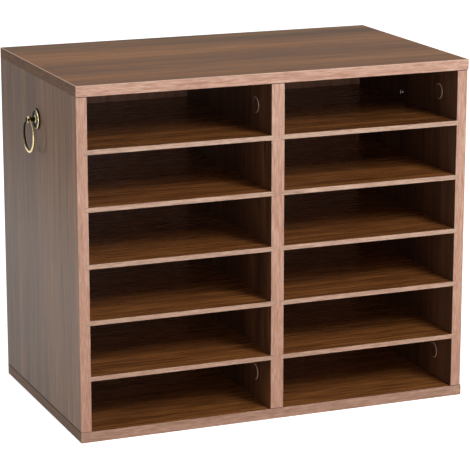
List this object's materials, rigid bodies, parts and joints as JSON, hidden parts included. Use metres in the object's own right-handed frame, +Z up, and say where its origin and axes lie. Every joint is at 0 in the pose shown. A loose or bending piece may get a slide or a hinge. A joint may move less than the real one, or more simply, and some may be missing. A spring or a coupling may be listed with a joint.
{
  "type": "pigeonhole mail sorter",
  "caption": "Free-standing laminated mail sorter: an open-fronted case in two columns of letter-size bays, with pull-out shelves and a brass ring pull on each side.",
  "frame": {"origin": "centre of the bottom board's underside, midway across the top and bottom boards' width and the case's depth", "axes": "+Z up, +X to the right seen from the front, the open front faces -Y"},
  "size_m": [0.537, 0.305, 0.432],
  "materials": {
    "case_laminate": "walnut laminate on chipboard, satin",
    "edge_band": "walnut edge band, satin",
    "shelf_laminate": "walnut laminate on hardboard, satin",
    "shelf_band": "thin edge band, satin",
    "back_board": "printed hardboard, matt",
    "zinc_cam": "die-cast zinc",
    "steel_fastener": "zinc-plated steel",
    "cover_plastic": "brown moulded plastic",
    "dowel_wood": "bare beech",
    "antique_brass": "antique brass, rubbed bright on the rims"
  },
  "bodies": {
    "case": {"top_panel": "case_laminate", "bottom_panel": "case_laminate", "left_side_panel": "case_laminate", "right_side_panel": "case_laminate", "centre_divider": "case_laminate", "back_panel": "back_board", "top_front_band": "edge_band", "bottom_front_band": "edge_band", "left_side_front_band": "edge_band", "right_side_front_band": "edge_band", "divider_front_band": "edge_band", "top_left_end_band": "edge_band", "top_right_end_band": "edge_band", "bottom_left_end_band": "edge_band", "bottom_right_end_band": "edge_band", "left_side_cams": "zinc_cam", "divider_cams": "zinc_cam", "right_side_cams": "zinc_cam", "left_side_cam_covers": "cover_plastic", "divider_cam_covers": "cover_plastic", "right_side_cam_covers": "cover_plastic", "top_cam_bolts": "steel_fastener", "bottom_cam_bolts": "steel_fastener", "top_dowels": "dowel_wood", "bottom_dowels": "dowel_wood", "left_rosette": "antique_brass", "right_rosette": "antique_brass", "left_pull_post": "antique_brass", "right_pull_post": "antique_brass", "left_pull_screw": "steel_fastener", "right_pull_screw": "steel_fastener"},
    "shelf_left_1": {"shelf_left_1": "shelf_laminate", "shelf_band_left_1": "shelf_band"},
    "shelf_left_2": {"shelf_left_2": "shelf_laminate", "shelf_band_left_2": "shelf_band"},
    "shelf_left_3": {"shelf_left_3": "shelf_laminate", "shelf_band_left_3": "shelf_band"},
    "shelf_left_4": {"shelf_left_4": "shelf_laminate", "shelf_band_left_4": "shelf_band"},
    "shelf_left_5": {"shelf_left_5": "shelf_laminate", "shelf_band_left_5": "shelf_band"},
    "shelf_right_1": {"shelf_right_1": "shelf_laminate", "shelf_band_right_1": "shelf_band"},
    "shelf_right_2": {"shelf_right_2": "shelf_laminate", "shelf_band_right_2": "shelf_band"},
    "shelf_right_3": {"shelf_right_3": "shelf_laminate", "shelf_band_right_3": "shelf_band"},
    "shelf_right_4": {"shelf_right_4": "shelf_laminate", "shelf_band_right_4": "shelf_band"},
    "shelf_right_5": {"shelf_right_5": "shelf_laminate", "shelf_band_right_5": "shelf_band"},
    "left_pull": {"left_pull_ring": "antique_brass"},
    "right_pull": {"right_pull_ring": "antique_brass"}
  },
  "joints": [
    {"name": "shelf_left_1_slide", "type": "slide", "parent": "case", "child": "shelf_left_1", "axis": [0, -1, 0], "range_m": [0, 0.255]},
    {"name": "shelf_left_2_slide", "type": "slide", "parent": "case", "child": "shelf_left_2", "axis": [0, -1, 0], "range_m": [0, 0.255]},
    {"name": "shelf_left_3_slide", "type": "slide", "parent": "case", "child": "shelf_left_3", "axis": [0, -1, 0], "range_m": [0, 0.255]},
    {"name": "shelf_left_4_slide", "type": "slide", "parent": "case", "child": "shelf_left_4", "axis": [0, -1, 0], "range_m": [0, 0.255]},
    {"name": "shelf_left_5_slide", "type": "slide", "parent": "case", "child": "shelf_left_5", "axis": [0, -1, 0], "range_m": [0, 0.255]},
    {"name": "shelf_right_1_slide", "type": "slide", "parent": "case", "child": "shelf_right_1", "axis": [0, -1, 0], "range_m": [0, 0.255]},
    {"name": "shelf_right_2_slide", "type": "slide", "parent": "case", "child": "shelf_right_2", "axis": [0, -1, 0], "range_m": [0, 0.255]},
    {"name": "shelf_right_3_slide", "type": "slide", "parent": "case", "child": "shelf_right_3", "axis": [0, -1, 0], "range_m": [0, 0.255]},
    {"name": "shelf_right_4_slide", "type": "slide", "parent": "case", "child": "shelf_right_4", "axis": [0, -1, 0], "range_m": [0, 0.255]},
    {"name": "shelf_right_5_slide", "type": "slide", "parent": "case", "child": "shelf_right_5", "axis": [0, -1, 0], "range_m": [0, 0.255]},
    {"name": "left_pull_swing", "type": "hinge", "parent": "case", "child": "left_pull", "pos_m": [-0.265, 0, 0.367], "axis": [0, 1, 0], "range_deg": [-12, 192]},
    {"name": "right_pull_swing", "type": "hinge", "parent": "case", "child": "right_pull", "pos_m": [0.2635, 0, 0.367], "axis": [0, -1, 0], "range_deg": [-12, 192]}
  ]
}
